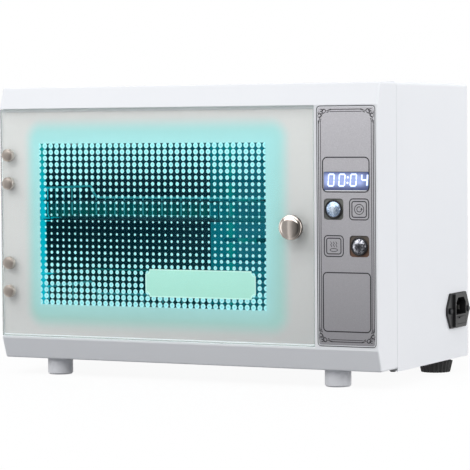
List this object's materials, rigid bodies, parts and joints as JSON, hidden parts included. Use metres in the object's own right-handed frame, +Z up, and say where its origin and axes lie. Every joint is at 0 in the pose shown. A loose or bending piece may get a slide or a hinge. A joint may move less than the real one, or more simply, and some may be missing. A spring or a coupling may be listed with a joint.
{
  "type": "uv sterilizer cabinet",
  "caption": "Countertop ultraviolet sterilizing cabinet with a side-hinged printed glass door, sliding baskets, key panel with display, drying fan and a fused mains inlet.",
  "frame": {"origin": "bottom centre of the whole cabinet's bounding box, on the surface it stands on", "axes": "+Z up, +X to the control panel's side, +Y from the door to the back"},
  "size_m": [0.3656, 0.2108, 0.2512],
  "materials": {
    "white_paint": "satin powder coat",
    "sheet_steel": "plain sheet",
    "liner_steel": "bright sheet",
    "door_glass": "printed clear glass",
    "polished_steel": "turned and polished",
    "wire_steel": "polished wire",
    "panel_silver": "printed silver plate",
    "display_lens": "tinted window",
    "black_plastic": "moulded",
    "black_rubber": "ribbed",
    "pale_foot": "smooth",
    "board_green": "circuit board",
    "lamp_glass": "lamp tube",
    "socket_white": "moulded",
    "brass": "plated",
    "black_screw": "blackened",
    "magnet_brown": "magnet block",
    "heater_grey": "finned"
  },
  "bodies": {
    "cabinet": {"front_bezel": "white_paint", "outer_casing": "white_paint", "rear_panel": "white_paint", "base_plate": "sheet_steel", "rail_left": "sheet_steel", "rail_right": "sheet_steel", "duct_cover": "sheet_steel", "air_duct": "sheet_steel", "hinge_bracket_upper": "sheet_steel", "hinge_bracket_lower": "sheet_steel", "chamber_liner": "liner_steel", "lamp_reflector": "liner_steel", "hinge_pin_upper": "polished_steel", "hinge_pin_lower": "polished_steel", "control_plate": "panel_silver", "display_lens": "display_lens", "display_module": "black_plastic", "inlet_body": "black_plastic", "fan_frame": "black_plastic", "rear_foot_left": "black_rubber", "rear_foot_right": "black_rubber", "front_foot_left": "pale_foot", "front_foot_right": "pale_foot", "control_board": "board_green", "uv_lamp": "lamp_glass", "lamp_socket_left": "socket_white", "lamp_socket_right": "socket_white", "door_switch": "socket_white", "ballast": "socket_white", "inlet_pin_live": "brass", "inlet_pin_neutral": "brass", "inlet_pin_earth": "brass", "inlet_screw_front": "black_screw", "inlet_screw_rear": "black_screw", "rear_screw_1": "black_screw", "rear_screw_2": "black_screw", "rear_screw_3": "black_screw", "rear_screw_4": "black_screw", "base_screw_left": "black_screw", "base_screw_right": "black_screw", "catch_magnet": "magnet_brown", "heater_element": "heater_grey"},
    "door": {"door_glass": "door_glass", "hinge_cap_1": "polished_steel", "hinge_cap_2": "polished_steel", "hinge_cap_3": "polished_steel", "hinge_cap_4": "polished_steel", "hinge_leaf_upper": "polished_steel", "hinge_leaf_lower": "polished_steel", "door_knob": "polished_steel", "knob_nut": "polished_steel", "door_strike": "sheet_steel"},
    "fan_rotor": {"fan_rotor": "black_plastic"},
    "power_key": {"power_key": "polished_steel"},
    "auto_key": {"auto_key": "panel_silver"},
    "drying_key": {"drying_key": "panel_silver"},
    "lamp_key": {"lamp_key": "polished_steel"},
    "upper_basket": {"upper_basket": "wire_steel"},
    "lower_basket": {"lower_basket": "wire_steel"},
    "fuse_holder": {"fuse_drawer": "black_plastic"}
  },
  "joints": [
    {"name": "door_hinge", "type": "hinge", "parent": "cabinet", "child": "door", "pos_m": [-0.18015, -0.08405, 0.1325], "axis": [0, 0, -1], "range_deg": [0, 110]},
    {"name": "fan_spin", "type": "hinge", "parent": "cabinet", "child": "fan_rotor", "pos_m": [0.00725, 0.09395, 0.1345], "axis": [0, 1, 0], "continuous": true},
    {"name": "power_press", "type": "slide", "parent": "cabinet", "child": "power_key", "axis": [0, 1, 0], "range_m": [0, 0.001], "stiffness_N_per_m": 400, "springref_m": -0.0005},
    {"name": "auto_press", "type": "slide", "parent": "cabinet", "child": "auto_key", "axis": [0, 1, 0], "range_m": [0, 0.001], "stiffness_N_per_m": 400, "springref_m": -0.0005},
    {"name": "drying_press", "type": "slide", "parent": "cabinet", "child": "drying_key", "axis": [0, 1, 0], "range_m": [0, 0.001], "stiffness_N_per_m": 400, "springref_m": -0.0005},
    {"name": "lamp_press", "type": "slide", "parent": "cabinet", "child": "lamp_key", "axis": [0, 1, 0], "range_m": [0, 0.001], "stiffness_N_per_m": 400, "springref_m": -0.0005},
    {"name": "upper_basket_slide", "type": "slide", "parent": "cabinet", "child": "upper_basket", "axis": [0, -1, 0], "range_m": [0, 0.017]},
    {"name": "lower_basket_slide", "type": "slide", "parent": "cabinet", "child": "lower_basket", "axis": [0, -1, 0], "range_m": [0, 0.017]},
    {"name": "fuse_drawer_pull", "type": "slide", "parent": "cabinet", "child": "fuse_holder", "axis": [1, 0, 0], "range_m": [0, 0.014]}
  ]
}
